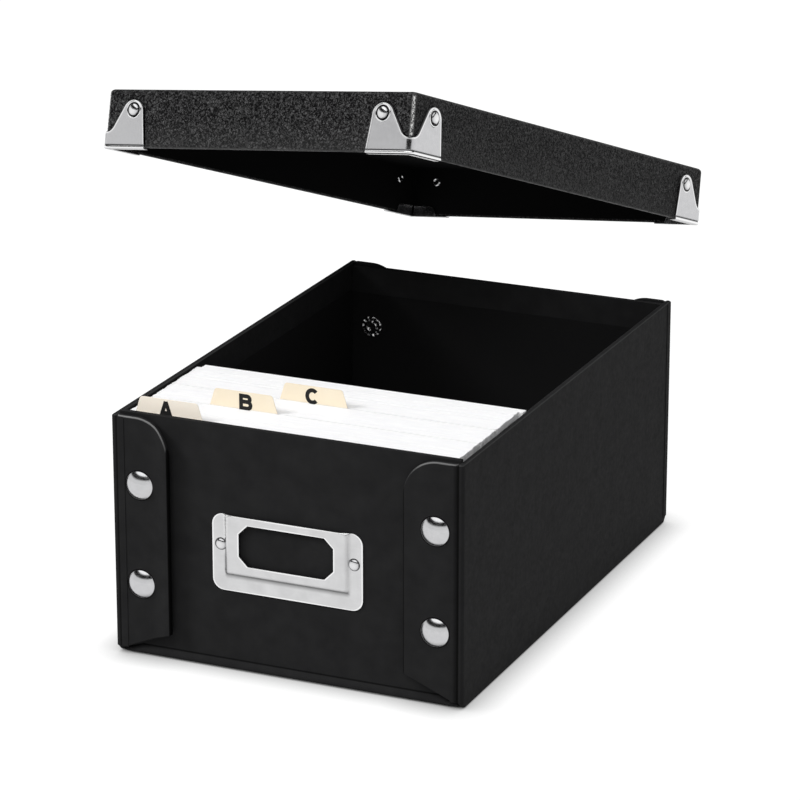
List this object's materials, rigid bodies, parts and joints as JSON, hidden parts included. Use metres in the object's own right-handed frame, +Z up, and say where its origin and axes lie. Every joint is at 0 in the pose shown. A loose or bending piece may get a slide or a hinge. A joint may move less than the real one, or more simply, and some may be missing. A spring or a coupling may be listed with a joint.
{
  "type": "index card drawer",
  "caption": "Long open box for index cards, with snap-together corner flaps, a label holder, tabbed dividers standing in the cards and a loose tray lid with metal corners.",
  "frame": {"origin": "middle of the underside of the box", "axes": "+Z up, the front with the label holder faces -Y, +X to the right as seen from the front"},
  "size_m": [0.2449, 0.3959, 0.2263],
  "materials": {
    "box_leatherette": "matte",
    "lid_leatherette": "satin",
    "lining": "matte",
    "bright_steel": "polished",
    "satin_steel": "satin",
    "card_stock": "matte",
    "tab_stock_pink": "matte",
    "tab_stock_yellow": "matte"
  },
  "bodies": {
    "box": {"bottom_panel": "lining", "floor_board": "lining", "left_side_panel": "box_leatherette", "right_side_panel": "box_leatherette", "front_panel": "box_leatherette", "back_panel": "box_leatherette", "front_snap_studs": "bright_steel", "front_snap_posts": "bright_steel", "back_snap_studs": "bright_steel", "back_snap_posts": "bright_steel", "label_holder": "satin_steel", "label_holder_rivets": "bright_steel"},
    "front_left_flap": {"front_left_flap": "box_leatherette", "front_left_snap_caps": "bright_steel", "front_left_snap_sockets": "bright_steel"},
    "front_right_flap": {"front_right_flap": "box_leatherette", "front_right_snap_caps": "bright_steel", "front_right_snap_sockets": "bright_steel"},
    "back_left_flap": {"back_left_flap": "box_leatherette", "back_left_snap_caps": "bright_steel", "back_left_snap_sockets": "bright_steel"},
    "back_right_flap": {"back_right_flap": "box_leatherette", "back_right_snap_caps": "bright_steel", "back_right_snap_sockets": "bright_steel"},
    "lid": {"lid_top_panel": "lid_leatherette", "lid_front_rim": "lid_leatherette", "lid_back_rim": "lid_leatherette", "lid_left_rim": "lid_leatherette", "lid_right_rim": "lid_leatherette", "lid_front_left_bracket": "bright_steel", "lid_front_right_bracket": "bright_steel", "lid_back_left_bracket": "bright_steel", "lid_back_right_bracket": "bright_steel", "lid_rivets": "bright_steel"},
    "cards_front": {"cards_front": "card_stock"},
    "divider_a": {"divider_a": "tab_stock_pink"},
    "cards_behind_a": {"cards_behind_a": "card_stock"},
    "divider_b": {"divider_b": "tab_stock_yellow"},
    "cards_behind_b": {"cards_behind_b": "card_stock"},
    "divider_c": {"divider_c": "tab_stock_yellow"},
    "cards_behind_c": {"cards_behind_c": "card_stock"}
  },
  "joints": [
    {"name": "front_left_flap_fold", "type": "hinge", "parent": "box", "child": "front_left_flap", "pos_m": [-0.0798, -0.1223, 0], "axis": [0, 0, -1], "range_deg": [0, 100]},
    {"name": "front_right_flap_fold", "type": "hinge", "parent": "box", "child": "front_right_flap", "pos_m": [0.0798, -0.1223, 0], "axis": [0, 0, 1], "range_deg": [0, 100]},
    {"name": "back_left_flap_fold", "type": "hinge", "parent": "box", "child": "back_left_flap", "pos_m": [-0.0798, 0.1223, 0], "axis": [0, 0, 1], "range_deg": [0, 100]},
    {"name": "back_right_flap_fold", "type": "hinge", "parent": "box", "child": "back_right_flap", "pos_m": [0.0798, 0.1223, 0], "axis": [0, 0, -1], "range_deg": [0, 100]},
    {"name": "cards_front_lift_out", "type": "slide", "parent": "box", "child": "cards_front", "axis": [0, 0, 1], "range_m": [0, 0.12]},
    {"name": "divider_a_lift_out", "type": "slide", "parent": "box", "child": "divider_a", "axis": [0, 0, 1], "range_m": [0, 0.12]},
    {"name": "cards_behind_a_lift_out", "type": "slide", "parent": "box", "child": "cards_behind_a", "axis": [0, 0, 1], "range_m": [0, 0.12]},
    {"name": "divider_b_lift_out", "type": "slide", "parent": "box", "child": "divider_b", "axis": [0, 0, 1], "range_m": [0, 0.12]},
    {"name": "cards_behind_b_lift_out", "type": "slide", "parent": "box", "child": "cards_behind_b", "axis": [0, 0, 1], "range_m": [0, 0.12]},
    {"name": "divider_c_lift_out", "type": "slide", "parent": "box", "child": "divider_c", "axis": [0, 0, 1], "range_m": [0, 0.12]},
    {"name": "cards_behind_c_lift_out", "type": "slide", "parent": "box", "child": "cards_behind_c", "axis": [0, 0, 1], "range_m": [0, 0.12]},
    {"name": "lid_swing", "type": "hinge", "parent": "box", "child": "lid", "pos_m": [0.3942, 0.2725, 0], "axis": [-0.8626, -0.2379, -0.4464], "range_deg": [-24.5, 10]}
  ]
}
